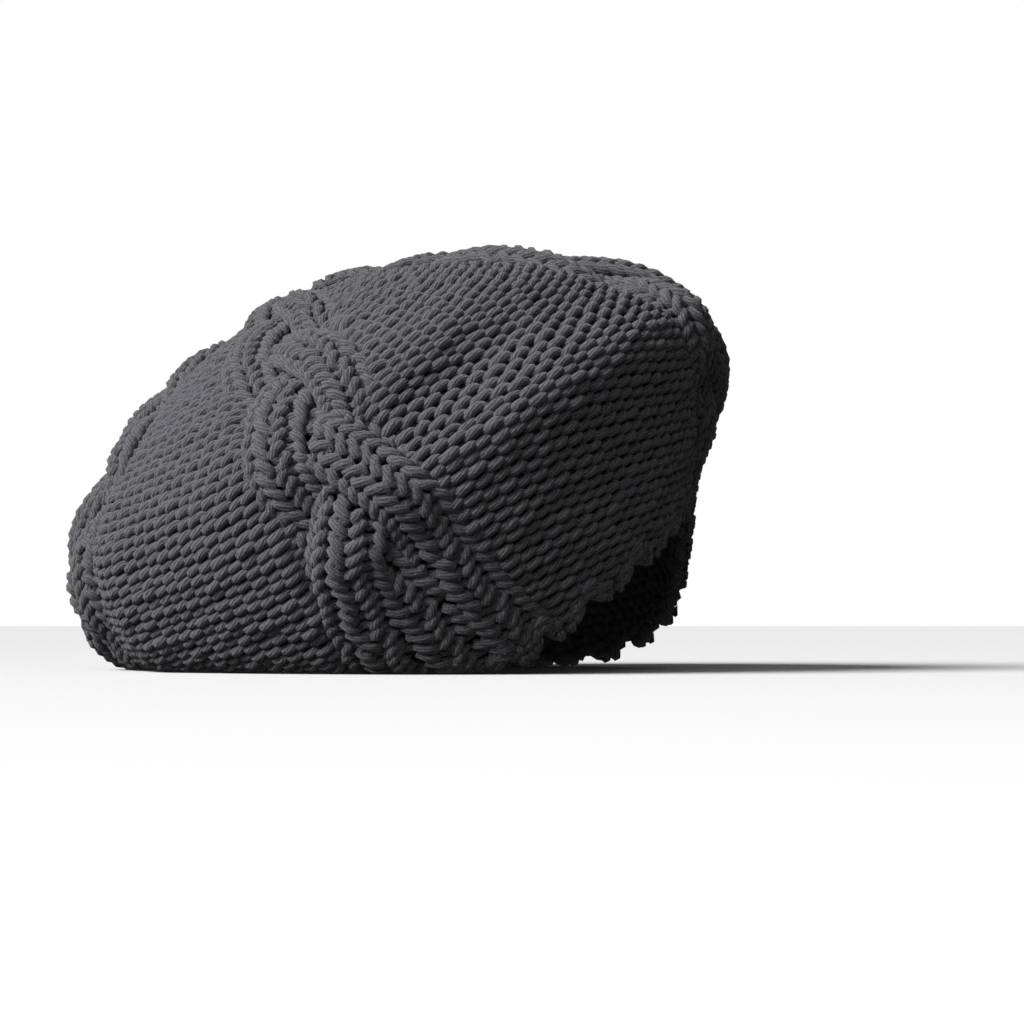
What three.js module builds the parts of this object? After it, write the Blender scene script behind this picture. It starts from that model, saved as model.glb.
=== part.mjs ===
// A knitted beret lying crown up and tipped to the left, its opening facing down and to the right.
// Lengths are in millimetres, angles in degrees, +Z is up and the front is towards -Y.
// Four plaited cable panels and four purl gores run from the edge of the opening to the crown.
import * as THREE from "three";

// Driving dimensions
const discRadius = 128; // the widest ring of the beret
const crownRise = 83; // crown above the widest ring
const skirtDrop = 69; // edge of the opening below the widest ring
const openingRadius = 94; // the opening
const crownShift = -9; // the crown's centre sideways from the ring's centre
const leanLeft = 25.5; // how far the beret tips to the left
const leanBack = 0.5; // how far it tips away from the front
const settle = 30; // how deep its own weight presses the slack side flat
const floorBlend = 7; // height over which the wall rounds onto the floor
const floorTouch = 0.3; // what comes this near to the floor touches it
const wall = 5; // thickness of the knitted fabric
const seam = 0.3; // gap between two pieces
const cableWidth = 54; // one cable panel at the widest ring
const plaitSwing = 16.5; // how far a strand of the plait swings from the panel's middle
const plaitLift = 2.6; // how far a strand rises and dives where strands cross
const strandWidth = 22; // one strand of the plait
const strandRise = 5; // how proud of the gores a strand stands
const crossingPitch = 29; // between one crossing of the plait and the next
const firstCrossing = 39; // the lowest crossing above the edge
const edgeHeight = 8; // the cast-on edge
const edgeBead = 0.6; // how proud of the gores the edge stands
const scallopDepth = 4; // the points along the edge
const gatherRadius = 9; // the drawn-together round at the crown
const goreTipWidth = 2.6; // where a gore is narrower than this, it has ended
const domeArc = 0.84; // the wall over the dome, as a share of its radius and rise together
const flarePower = 1.5; // how quickly a cable widens towards the edge
const plaitFadeIn = 0.03; // over this share of the way up the plait rises from the edge
const plaitFadeOut = 0.05; // and over this share it runs out below the crown
const normalReach = 0.02; // share of the way up over which the wall's tilt is measured
const crownFlat = 0.98; // from here on the wall faces straight along the beret's axis
const crownLimit = 0.985; // the tilt isn't measured any nearer to the crown than this

// The levels of the wall, as shares of the way from the edge up to the crown
const ringShare = 0.32; // the widest ring
const domeShare = 0.6; // the dome
const crownShare = 0.9; // near the crown

// Rows of values under the names of their columns
function table(columns, rows) {
  return rows.map((row) => Object.fromEntries(columns.map((column, i) => [column, row[i]])));
}

// The wall from the edge up to the crown: how far up it is, how much of the disc's and the opening's radius
// it stands out, and how much of the crown's rise, the skirt's drop and the changes in SECTIONS it takes
const PROFILE = table(
  ["share", "disc", "opening", "crown", "skirt", "lift", "full", "slack", "shift"],
  [
    [0.0, 0.0, 1.0, 0.0, 1.0, 0.0, 0.0, 0.0, 0.0],
    [0.11, 0.47, 0.53, 0.0, 0.7, 0.25, 0.0, 0.05, 0.0],
    [0.22, 0.84, 0.16, 0.0, 0.36, 0.7, 0.0, 0.04, 0.0],
    [ringShare, 1.0, 0.0, 0.0, 0.0, 1.0, 0.1, 0.0, 0.0],
    [0.42, 0.96, 0.0, 0.29, 0.0, 0.8, 0.8, 0.0, 0.1],
    [0.545, 0.79, 0.0, 0.59, 0.0, 0.45, 1.0, 0.0, 0.25],
    [0.71, 0.52, 0.0, 0.82, 0.0, 0.15, 0.5, 0.0, 0.5],
    [0.86, 0.26, 0.0, 0.945, 0.0, 0.0, 0.15, 0.0, 0.8],
    [1.0, 0.0, 0.0, 1.0, 0.0, 0.0, 0.0, 0.0, 1.0],
  ],
);

// How the beret changes round its axis, 0 at the front and 90 at the right: shares of the ring's radius,
// the crown's rise (lift and fullness), the disc's radius (slack of the skirt), the opening's radius and
// the skirt's drop
const SECTIONS = table(
  ["angle", "ring", "lift", "full", "slack", "brim", "drop"],
  [
    [-180, 1.0, -0.06, 0.02, 0.0, 1.0, 1.3],
    [-135, 1.01, 0.03, 0.0, 0.0, 1.0, 1.05],
    [-90, 1.03, 0.07, -0.02, 0.0, 1.0, 0.95],
    [-45, 1.0, 0.03, -0.02, 0.0, 0.98, 0.99],
    [0, 1.0, 0.0, -0.02, 0.0, 0.98, 1.19],
    [45, 1.0, 0.04, -0.05, -0.3, 0.98, 0.99],
    [90, 1.025, 0.04, -0.11, -1.0, 0.965, 0.81],
    [135, 1.0, -0.04, -0.07, -0.2, 0.97, 1.38],
    [180, 1.0, -0.06, 0.02, 0.0, 1.0, 1.3],
  ],
);

// Where each cable runs: its direction at the crown, on the dome, at the widest ring and at the edge,
// and its width at the edge as a share of its width at the ring
const CABLES = table(
  ["name", "crown", "dome", "ring", "edge", "flare"],
  [
    ["front_cable", -14, -11, -11, -12, 1.33],
    ["right_cable", 76, 73, 74, 100, 1.2],
    ["back_cable", 166, 165, 168, 182, 1.05],
    ["left_cable", 256, 290, 276, 261, 1.05],
  ],
);
const GORES = ["front_right_gore", "back_right_gore", "back_left_gore", "front_left_gore"];

// How wide a cable is on its way up, as a share of its width at the widest ring
const CABLE_TAPER = table(
  ["share", "width"],
  [
    [0.0, 1.0],
    [ringShare, 1.0],
    [0.545, 0.94],
    [0.71, 0.82],
    [0.86, 0.62],
    [0.93, 0.58],
    [1.0, 0.56],
  ],
);

// Soft folds and dents: direction and share of the way up where each lies, the turn of its long side from
// level, its length and breadth as shares of the disc's radius and its depth as a share of the crown's rise
const FOLDS = table(
  ["what", "angle", "share", "turn", "long", "broad", "deep"],
  [
    ["valley beside the front cable", 14, 0.41, 18, 0.34, 0.1, 0.1],
    ["crease above the ring", 38, 0.44, 12, 0.42, 0.09, 0.05],
    ["ridge of the ring", 34, 0.33, 8, 0.5, 0.09, -0.04],
    ["hollow under the ridge", 40, 0.2, 8, 0.42, 0.16, 0.05],
    ["upright ridge of the left gore", -58, 0.33, 84, 0.4, 0.1, -0.04],
    ["hollow beside that ridge", -70, 0.36, 76, 0.4, 0.1, 0.05],
    ["groove in front of the left cable", -76, 0.48, 60, 0.3, 0.07, 0.06],
    ["slack at the back", 205, 0.42, 5, 0.45, 0.12, 0.06],
    ["dip of the crown", 120, 0.8, 0, 0.3, 0.2, 0.04],
  ],
);

const GORE_ROWS = 26; // steps from the edge to the tips of the gores
const TIP_ROWS = 4; // steps from there to the crown
const CABLE_COLUMNS = 10;
const GORE_COLUMNS = 8;
const GATHER_SECTORS = 12;
const HALVINGS = 30; // steps of a search that halves its range

const radians = Math.PI / 180;

// A smooth value between the rows of a table
function between(table, key, column, at) {
  let i = 0;
  while (i < table.length - 2 && at > table[i + 1][key]) i += 1;
  const a = table[i];
  const b = table[i + 1];
  const span = b[key] - a[key];
  const t = (at - a[key]) / span;
  const before = table[i - 1];
  const after = table[i + 2];
  const slope = (b[column] - a[column]) / span;
  const slopeA = before ? (b[column] - before[column]) / (b[key] - before[key]) : slope;
  const slopeB = after ? (after[column] - a[column]) / (after[key] - a[key]) : slope;
  const t2 = t * t;
  const t3 = t2 * t;
  return (
    (2 * t3 - 3 * t2 + 1) * a[column] +
    (t3 - 2 * t2 + t) * span * slopeA +
    (3 * t2 - 2 * t3) * b[column] +
    (t3 - t2) * span * slopeB
  );
}

// A value from SECTIONS, smooth all the way round
const ROUND = [
  { ...SECTIONS[SECTIONS.length - 2], angle: SECTIONS[SECTIONS.length - 2].angle - 360 },
  ...SECTIONS,
  { ...SECTIONS[1], angle: SECTIONS[1].angle + 360 },
];
function around(column, angle) {
  const turned = ((((angle + 180) % 360) + 360) % 360) - 180;
  return between(ROUND, "angle", column, turned);
}

// The beret's own axes: out to the right, towards the front and up through the crown
const tip = new THREE.Matrix4().makeRotationY(-leanLeft * radians);
tip.multiply(new THREE.Matrix4().makeRotationX(-leanBack * radians));
const toRight = new THREE.Vector3(1, 0, 0).applyMatrix4(tip);
const toFront = new THREE.Vector3(0, -1, 0).applyMatrix4(tip);
const toCrown = new THREE.Vector3(0, 0, 1).applyMatrix4(tip);

// How far a point of the wall stands from the axis, and how high above the widest ring
function section(angle, share) {
  const row = (column) => between(PROFILE, "share", column, share);
  const radius =
    discRadius * (row("disc") * around("ring", angle) + row("slack") * around("slack", angle)) +
    openingRadius * row("opening") * around("brim", angle);
  const rise =
    crownRise * (row("crown") + row("lift") * around("lift", angle) + row("full") * around("full", angle)) -
    skirtDrop * row("skirt") * around("drop", angle);
  return { radius, rise, shift: crownShift * row("shift") };
}

// How deep the folds press the wall in at a place
const wallLength = (discRadius + crownRise) * domeArc + skirtDrop;
function foldDepth(angle, share) {
  let depth = 0;
  for (const fold of FOLDS) {
    const turned = ((((angle - fold.angle + 180) % 360) + 360) % 360) - 180;
    const side = turned * radians * discRadius;
    const up = (share - fold.share) * wallLength;
    const turn = fold.turn * radians;
    const lengthwise = (side * Math.cos(turn) + up * Math.sin(turn)) / (fold.long * discRadius);
    const across = (up * Math.cos(turn) - side * Math.sin(turn)) / (fold.broad * discRadius);
    depth += fold.deep * crownRise * Math.exp(-lengthwise * lengthwise - across * across);
  }
  return depth;
}

// A point of the wall before it settles onto the floor, from the middle of the widest ring
function hanging(angle, share) {
  const at = section(angle, share);
  const radius = at.radius - foldDepth(angle, share);
  return new THREE.Vector3()
    .addScaledVector(toRight, radius * Math.sin(angle * radians) + at.shift)
    .addScaledVector(toFront, radius * Math.cos(angle * radians))
    .addScaledVector(toCrown, at.rise);
}

// Lines of the wall from the crown down to the edge, in equal steps
const LINES = 120;
const STEPS = 100;
const hangingLines = [];
for (let i = 0; i < LINES; i += 1) {
  const line = [];
  for (let j = 0; j <= STEPS; j += 1) {
    line.push(hanging(-180 + (360 * i) / LINES, j / STEPS));
  }
  hangingLines.push(line);
}

// The floor lies above the lowest point of the hanging beret, so its slack side is pressed flat. A line that
// comes down to the floor turns and runs on along it, as long as before, towards the inside of the beret.
const floorAt = Math.min(...hangingLines.flat().map((point) => point.z)) + settle;
function settledLine(line, angle) {
  const inward = toRight.clone().multiplyScalar(-Math.sin(angle * radians));
  inward.addScaledVector(toFront, -Math.cos(angle * radians)).setZ(0).normalize();
  const settledPoints = [];
  const at = line[STEPS].clone();
  at.z -= floorAt;
  settledPoints[STEPS] = at.clone();
  for (let j = STEPS - 1; j >= 0; j -= 1) {
    const step = line[j].clone().sub(line[j + 1]);
    const length = step.length();
    if (step.z < 0) step.z = Math.max(step.z * Math.min(1, Math.sqrt(at.z / floorBlend)), -at.z);
    at.add(step).addScaledVector(inward, length - step.length());
    settledPoints[j] = at.clone().setZ(Math.max(0, at.z - floorTouch));
  }
  return settledPoints;
}
const settledLines = hangingLines.map((line, i) => settledLine(line, -180 + (360 * i) / LINES));

// A point of the wall as it lies
function settled(angle, share) {
  const turn = ((((angle + 180) % 360) + 360) % 360) / (360 / LINES);
  const step = Math.min(Math.max(share, 0), 1) * STEPS;
  const i = Math.floor(turn);
  const j = Math.min(Math.floor(step), STEPS - 1);
  const line = settledLines[i % LINES];
  const next = settledLines[(i + 1) % LINES];
  const low = line[j].clone().lerp(next[j], turn - i);
  const high = line[j + 1].clone().lerp(next[j + 1], turn - i);
  return low.lerp(high, step - j);
}

// The way out of the wall, over a stretch about as long as the wall is thick
function outward(angle, share) {
  if (share > crownFlat) return toCrown.clone();
  const low = Math.max(share - normalReach, 0);
  const high = Math.min(share + normalReach, crownLimit);
  const turn = (wall / Math.max(section(angle, share).radius, wall)) / radians;
  const across = settled(angle + turn, share).sub(settled(angle - turn, share));
  const up = settled(angle, high).sub(settled(angle, low));
  return across.cross(up).normalize();
}

// A point so far out from the wall, or in from it where rise is negative
function wallPoint(angle, share, rise) {
  const point = settled(angle, share).addScaledVector(outward(angle, share), rise);
  point.z = Math.max(point.z, 0);
  return point;
}

// Length along the wall from the edge, at the front cable, where the plait's crossings are counted
const wallRun = [0];
for (let i = 1; i <= STEPS; i += 1) {
  const low = hanging(CABLES[0].ring, (i - 1) / STEPS);
  wallRun.push(wallRun[i - 1] + low.distanceTo(hanging(CABLES[0].ring, i / STEPS)));
}
function runAt(share) {
  const step = Math.min(Math.floor(share * STEPS), STEPS - 1);
  return wallRun[step] + (wallRun[step + 1] - wallRun[step]) * (share * STEPS - step);
}
function shareAt(run) {
  let low = 0;
  let high = 1;
  for (let i = 0; i < HALVINGS; i += 1) {
    const middle = (low + high) / 2;
    if (runAt(middle) < run) low = middle;
    else high = middle;
  }
  return low;
}
const edgeTop = shareAt(edgeHeight);
const gatherStart = shareAt(wallRun[STEPS] - gatherRadius);
const seamShare = seam / wallRun[STEPS];

// The direction of a cable's middle and its half width in degrees at a share of the way up
function cableMiddle(cable, share) {
  const route = [
    { share: 0, angle: cable.edge },
    { share: ringShare, angle: cable.ring },
    { share: domeShare, angle: cable.dome },
    { share: crownShare, angle: cable.crown },
    { share: 1, angle: cable.crown },
  ];
  return between(route, "share", "angle", share);
}
function cableHalf(cable, share) {
  const flared = 1 + (cable.flare - 1) * Math.max(0, 1 - share / ringShare) ** flarePower;
  const half = (cableWidth / 2) * flared * between(CABLE_TAPER, "share", "width", share);
  return half / Math.max(section(cableMiddle(cable, share), share).radius, 1) / radians;
}

// The two sides of the gore after a cable; they run together where the gore has ended
function goreSides(index, share) {
  const cable = CABLES[index];
  const next = CABLES[(index + 1) % CABLES.length];
  const nextTurn = index + 1 < CABLES.length ? 0 : 360;
  const left = cableMiddle(cable, share) + cableHalf(cable, share);
  const right = cableMiddle(next, share) + nextTurn - cableHalf(next, share);
  const middle = (left + right) / 2;
  const width = (right - left) * radians * section(middle, share).radius;
  if (width > goreTipWidth) return { left, right, ended: false };
  return { left: middle, right: middle, ended: true };
}
function goreTip(index) {
  let low = ringShare;
  let high = gatherStart;
  for (let i = 0; i < HALVINGS; i += 1) {
    const middle = (low + high) / 2;
    if (goreSides(index, middle).ended) high = middle;
    else low = middle;
  }
  return low;
}

// The levels at which all panels have their points: up to the tips of the gores, and from there to the crown
const tips = Math.min(...CABLES.map((cable, index) => goreTip(index)));
const goreLevels = [];
for (let i = 0; i <= GORE_ROWS; i += 1) {
  goreLevels.push(edgeTop + seamShare + ((tips - edgeTop - seamShare) * i) / GORE_ROWS);
}
const cableLevels = [...goreLevels];
for (let i = 0; i <= TIP_ROWS; i += 1) {
  cableLevels.push(tips + seamShare + ((gatherStart - tips - 2 * seamShare) * i) / TIP_ROWS);
}

// How high the plait stands at a place: side runs from -1 to 1 across the panel
function plait(side, share) {
  const taper = between(CABLE_TAPER, "share", "width", share);
  const across = (side * cableWidth * taper) / 2;
  const phase = Math.PI / 2 + ((firstCrossing - runAt(share)) / crossingPitch) * (Math.PI / 3);
  let height = 0;
  for (let strand = 0; strand < 3; strand += 1) {
    const turn = phase + (strand * 2 * Math.PI) / 3;
    const offset = (across - plaitSwing * taper * Math.sin(turn)) / ((strandWidth * taper) / 2);
    if (Math.abs(offset) >= 1) continue;
    const top = strandRise - plaitLift + plaitLift * Math.sin(2 * turn);
    height = Math.max(height, top * Math.sqrt(1 - offset * offset));
  }
  const fadeIn = Math.min(1, Math.max(0, (share - edgeTop) / plaitFadeIn));
  const fadeOut = Math.min(1, Math.max(0, (gatherStart - share) / plaitFadeOut));
  return height * fadeIn * fadeOut;
}

// A closed slab from two grids of points, rows by columns, outside and inside. Facing sides of two slabs are
// split along the same diagonals, so that the gap between them stays even.
function slab(outside, inside, joined) {
  const rows = outside.length;
  const columns = outside[0].length;
  const points = [];
  const faces = [];
  for (const grid of [outside, inside]) for (const row of grid) points.push(...row);
  const at = (layer, i, j) => layer * rows * columns + i * columns + (j % columns);
  const quad = (a, b, c, d) => faces.push(a, b, c, a, c, d);
  const steps = joined ? columns : columns - 1;
  for (let i = 0; i < rows - 1; i += 1) {
    for (let j = 0; j < steps; j += 1) {
      quad(at(0, i, j), at(0, i, j + 1), at(0, i + 1, j + 1), at(0, i + 1, j));
      quad(at(1, i, j), at(1, i + 1, j), at(1, i + 1, j + 1), at(1, i, j + 1));
    }
    if (!joined) {
      quad(at(0, i, 0), at(0, i + 1, 0), at(1, i + 1, 0), at(1, i, 0));
      quad(at(0, i, steps), at(1, i, steps), at(1, i + 1, steps), at(0, i + 1, steps));
    }
  }
  for (let j = 0; j < steps; j += 1) {
    quad(at(0, 0, j), at(1, 0, j), at(1, 0, j + 1), at(0, 0, j + 1));
    quad(at(0, rows - 1, j), at(0, rows - 1, j + 1), at(1, rows - 1, j + 1), at(1, rows - 1, j));
  }
  const geometry = new THREE.BufferGeometry().setFromPoints(points);
  geometry.setIndex(faces);
  geometry.computeVertexNormals();
  return geometry;
}

// A panel of the wall between two sides
function panel(sides, levels, columns, relief) {
  const outside = [];
  const inside = [];
  for (const share of levels) {
    const { left, right } = sides(share);
    const gap = ((seam / 2) / section((left + right) / 2, share).radius) / radians;
    const outRow = [];
    const inRow = [];
    for (let j = 0; j <= columns; j += 1) {
      const along = j / columns;
      const angle = left + gap + (right - left - 2 * gap) * along;
      outRow.push(wallPoint(angle, share, relief(2 * along - 1, share)));
      inRow.push(wallPoint(angle, share, -wall));
    }
    outside.push(outRow);
    inside.push(inRow);
  }
  return slab(outside, inside, false);
}

function cablePanel(index) {
  const before = (index + CABLES.length - 1) % CABLES.length;
  const turnBack = index === 0 ? 360 : 0;
  const sides = (share) => {
    return { left: goreSides(before, share).right - turnBack, right: goreSides(index, share).left };
  };
  return panel(sides, cableLevels, CABLE_COLUMNS, plait);
}

function gorePanel(index) {
  return panel((share) => goreSides(index, share), goreLevels, GORE_COLUMNS, () => 0);
}

// The cast-on edge: a band round the opening that ends in points, two columns of a panel to each point
function scallopedEdge() {
  const angles = [];
  CABLES.forEach((cable, index) => {
    const before = (index + CABLES.length - 1) % CABLES.length;
    const turnBack = index === 0 ? 360 : 0;
    const start = goreSides(before, edgeTop).right - turnBack;
    const { left, right } = goreSides(index, edgeTop);
    for (let j = 0; j < CABLE_COLUMNS; j += 1) angles.push(start + ((left - start) * j) / CABLE_COLUMNS);
    for (let j = 0; j < GORE_COLUMNS; j += 1) angles.push(left + ((right - left) * j) / GORE_COLUMNS);
  });
  const tipAt = (j) => (j % 2 ? 0 : shareAt(scallopDepth));
  const outside = [
    angles.map((angle, j) => wallPoint(angle, tipAt(j), edgeBead)),
    angles.map((angle) => wallPoint(angle, edgeTop, edgeBead)),
  ];
  const inside = [
    angles.map((angle, j) => wallPoint(angle, tipAt(j), -wall)),
    angles.map((angle) => wallPoint(angle, edgeTop, -wall)),
  ];
  return slab(outside, inside, true);
}

// The round at the crown: a low cushion whose rim meets the cables
function crownGather() {
  const points = [];
  const faces = [];
  const rim = [gatherStart, (gatherStart + 1) / 2];
  for (const depth of [0, -wall]) {
    for (const share of rim) {
      for (let j = 0; j < GATHER_SECTORS; j += 1) {
        points.push(wallPoint((360 * j) / GATHER_SECTORS, share, depth));
      }
    }
  }
  const middle = points.length;
  points.push(wallPoint(0, 1, 0));
  points.push(wallPoint(0, 1, -wall));
  const at = (ring, j) => ring * GATHER_SECTORS + (j % GATHER_SECTORS);
  const quad = (a, b, c, d) => faces.push(a, b, c, a, c, d);
  for (let j = 0; j < GATHER_SECTORS; j += 1) {
    quad(at(0, j), at(0, j + 1), at(1, j + 1), at(1, j));
    faces.push(at(1, j), at(1, j + 1), middle);
    quad(at(2, j), at(3, j), at(3, j + 1), at(2, j + 1));
    faces.push(at(3, j + 1), at(3, j), middle + 1);
    quad(at(2, j), at(2, j + 1), at(0, j + 1), at(0, j));
  }
  const geometry = new THREE.BufferGeometry().setFromPoints(points);
  geometry.setIndex(faces);
  geometry.computeVertexNormals();
  return geometry;
}

const yarn = new THREE.MeshStandardMaterial({ color: 0x4b4b4e, roughness: 0.95, metalness: 0 });
const beret = new THREE.Group();
function add(name, geometry) {
  const mesh = new THREE.Mesh(geometry, yarn.clone());
  mesh.name = name;
  beret.add(mesh);
}
CABLES.forEach((cable, index) => add(cable.name, cablePanel(index)));
GORES.forEach((name, index) => add(name, gorePanel(index)));
add("scalloped_edge", scallopedEdge());
add("crown_gather", crownGather());

// The origin is in the middle of the beret's footprint, on the floor
const box = new THREE.Box3().setFromObject(beret);
for (const mesh of beret.children) {
  mesh.position.set(-(box.min.x + box.max.x) / 2, -(box.min.y + box.max.y) / 2, -box.min.z);
}

export default beret;
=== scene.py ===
"""A knitted beret lying crown up and tipped to one side, every stitch of it a loop of plied wool.

The wall is the one of the CAD model, in millimetres, with +Z up and the front towards -Y. Meshes are made in
millimetres and turned into metres where a Blender object is made. Angles are in degrees.
"""

import math

import bpy
import numpy as np
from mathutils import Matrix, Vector


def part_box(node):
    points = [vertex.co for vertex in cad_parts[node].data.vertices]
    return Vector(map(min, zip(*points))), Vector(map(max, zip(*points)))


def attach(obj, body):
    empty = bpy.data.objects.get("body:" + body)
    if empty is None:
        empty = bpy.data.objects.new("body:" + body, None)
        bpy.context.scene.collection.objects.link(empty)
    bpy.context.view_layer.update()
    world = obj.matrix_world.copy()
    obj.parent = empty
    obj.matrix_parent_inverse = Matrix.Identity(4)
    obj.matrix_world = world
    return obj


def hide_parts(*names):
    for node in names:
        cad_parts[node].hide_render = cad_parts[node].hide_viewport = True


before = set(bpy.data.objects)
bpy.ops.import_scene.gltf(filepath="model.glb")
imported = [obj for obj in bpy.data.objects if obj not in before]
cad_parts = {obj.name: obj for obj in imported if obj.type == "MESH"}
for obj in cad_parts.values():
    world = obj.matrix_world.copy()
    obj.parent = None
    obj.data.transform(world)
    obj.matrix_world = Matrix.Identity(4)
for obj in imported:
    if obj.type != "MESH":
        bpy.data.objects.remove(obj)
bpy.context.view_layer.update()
random = np.random.default_rng(11)

MM = 0.001

# The form of the beret has the CAD model's values, but for the front cable's place and flare in CABLES
# and the power of the flare
DISC_RADIUS = 128.0  # the widest ring
CROWN_RISE = 83.0  # crown above the widest ring
SKIRT_DROP = 69.0  # edge of the opening below the widest ring
OPENING_RADIUS = 94.0
CROWN_SHIFT = -9.0  # the crown's centre sideways from the ring's centre
LEAN_LEFT = 25.5
LEAN_BACK = 0.5
SETTLE = 30.0  # how deep the beret's own weight presses the slack side flat
FLOOR_BLEND = 7.0  # height over which the wall rounds onto the floor
FLOOR_TOUCH = 0.3  # what comes this near to the floor touches it
WALL_THICKNESS = 5.0
CABLE_WIDTH = 54.0
EDGE_HEIGHT = 8.0
SCALLOP_DEPTH = 4.0
GATHER_RADIUS = 9.0
GATHER_SECTORS = 12
GORE_TIP_WIDTH = 2.6  # where a gore is narrower than this, it has ended
DOME_ARC = 0.84  # the wall over the dome, as a share of its radius and rise together
FLARE_POWER = 1.1  # how quickly a cable widens towards the edge

# Levels of the wall, as shares of the way from the edge up to the crown
RING_SHARE = 0.32
DOME_SHARE = 0.6
CROWN_SHARE = 0.9
CROWN_FLAT = 0.98  # from here on the wall faces straight along the beret's axis

# The wall from the edge up to the crown: how much of the disc's and the opening's radius it stands out, and
# how much of the crown's rise, the skirt's drop and the changes in SECTIONS it takes
PROFILE_COLUMNS = ("share", "disc", "opening", "crown", "skirt", "lift", "full", "slack", "shift")
PROFILE = (
    (0.0, 0.0, 1.0, 0.0, 1.0, 0.0, 0.0, 0.0, 0.0),
    (0.11, 0.47, 0.53, 0.0, 0.7, 0.25, 0.0, 0.05, 0.0),
    (0.22, 0.84, 0.16, 0.0, 0.36, 0.7, 0.0, 0.04, 0.0),
    (RING_SHARE, 1.0, 0.0, 0.0, 0.0, 1.0, 0.1, 0.0, 0.0),
    (0.42, 0.96, 0.0, 0.29, 0.0, 0.8, 0.8, 0.0, 0.1),
    (0.545, 0.79, 0.0, 0.59, 0.0, 0.45, 1.0, 0.0, 0.25),
    (0.71, 0.52, 0.0, 0.82, 0.0, 0.15, 0.5, 0.0, 0.5),
    (0.86, 0.26, 0.0, 0.945, 0.0, 0.0, 0.15, 0.0, 0.8),
    (1.0, 0.0, 0.0, 1.0, 0.0, 0.0, 0.0, 0.0, 1.0),
)
# How the beret changes round its axis, 0 at the front and 90 at the right
SECTION_COLUMNS = ("angle", "ring", "lift", "full", "slack", "brim", "drop")
SECTIONS = (
    (-180, 1.0, -0.06, 0.02, 0.0, 1.0, 1.3),
    (-135, 1.01, 0.03, 0.0, 0.0, 1.0, 1.05),
    (-90, 1.03, 0.07, -0.02, 0.0, 1.0, 0.95),
    (-45, 1.0, 0.03, -0.02, 0.0, 0.98, 0.99),
    (0, 1.0, 0.0, -0.02, 0.0, 0.98, 1.19),
    (45, 1.0, 0.04, -0.05, -0.3, 0.98, 0.99),
    (90, 1.025, 0.04, -0.11, -1.0, 0.965, 0.81),
    (135, 1.0, -0.04, -0.07, -0.2, 0.97, 1.38),
)
# Direction of a cable at the crown, on the dome, at the widest ring and at the edge, and its width at the edge
# as a share of its width at the ring
CABLES = (
    ("front_cable", -14, -10.5, -9, -6, 1.55),
    ("right_cable", 76, 73, 74, 100, 1.2),
    ("back_cable", 166, 165, 168, 182, 1.05),
    ("left_cable", 256, 290, 276, 261, 1.05),
)
GORES = ("front_right_gore", "back_right_gore", "back_left_gore", "front_left_gore")
# How wide a cable is on its way up, as a share of its width at the widest ring
TAPER = ((0.0, 1.0), (RING_SHARE, 1.0), (0.545, 0.94), (0.71, 0.82), (0.86, 0.62), (0.93, 0.58), (1.0, 0.56))
# Direction and share of the way up of each soft fold, the turn of its long side from level, its length and
# breadth as shares of the disc's radius and its depth as a share of the crown's rise
FOLDS = (
    (14, 0.41, 18, 0.34, 0.1, 0.1),
    (38, 0.44, 12, 0.42, 0.09, 0.05),
    (34, 0.33, 8, 0.5, 0.09, -0.04),
    (40, 0.2, 8, 0.42, 0.16, 0.05),
    (-58, 0.33, 84, 0.4, 0.1, -0.04),
    (-70, 0.36, 76, 0.4, 0.1, 0.05),
    (-76, 0.48, 60, 0.3, 0.07, 0.06),
    (205, 0.42, 5, 0.45, 0.12, 0.06),
    (120, 0.8, 0, 0.3, 0.2, 0.04),
)

# The knitting. A height is how far something stands out from the outside of the wall.
ROW_PITCH = 4.3  # between one row and the next
ROWS_BELOW = 6  # rows that start below the edge, where rows slip up the wall
WALL_MIDDLE = -2.5  # height of the middle of the fabric
PURL_WIDTH = 6.3  # one purl stitch
PURL_YARN = 1.88  # radius of the yarn there
PURL_SWING = 0.85  # how far a purl bump rises along its row, each way
PURL_STRETCH = 1.5  # how far a purl bump reaches over the next one, each way
PURL_DEPTH = 1.3  # how far the yarn swings through the thickness of the fabric
PURL_SAMPLES = 10
EDGE_SWING = ((0.05, 0.65), (0.3, 1.0))  # share of the way up and share of PURL_SWING there
GORE_OVERLAP = 1.3  # how far rows run on under the cables, in stitches
SINK_START = -1.0  # how far beyond the side of the gore its rows begin to dip under the cable
SINK_WIDTH = 1.2  # over how many stitches they dip
SINK_DEPTH = 4.5
PURL_WANDER = (0.38, 0.27, 0.3, 0.08)  # unevenness across, up, outwards and in the yarn's radius
PLAIN_YARN = 2.05
PLAIN_DEPTH = 1.2
PLAIN_SAMPLES = 12
PLAIN_WANDER = (0.022, 0.05, 0.05)  # unevenness across, up and in the yarn's radius
LOOP_HEIGHT = 0.8  # half a plain loop's height, in rows
LOOP_NECK = 0.25  # how far a loop narrows at its neck, in stitch widths
# Columns of stitches in a strand, where its cable is wider than a share of CABLE_WIDTH
WALES = ((0.66, 3), (0.38, 2), (0.0, 1))
NARROW_YARN = 0.55  # share of its radius that the yarn keeps where a cable has no width
STRANDS = 3
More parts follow.
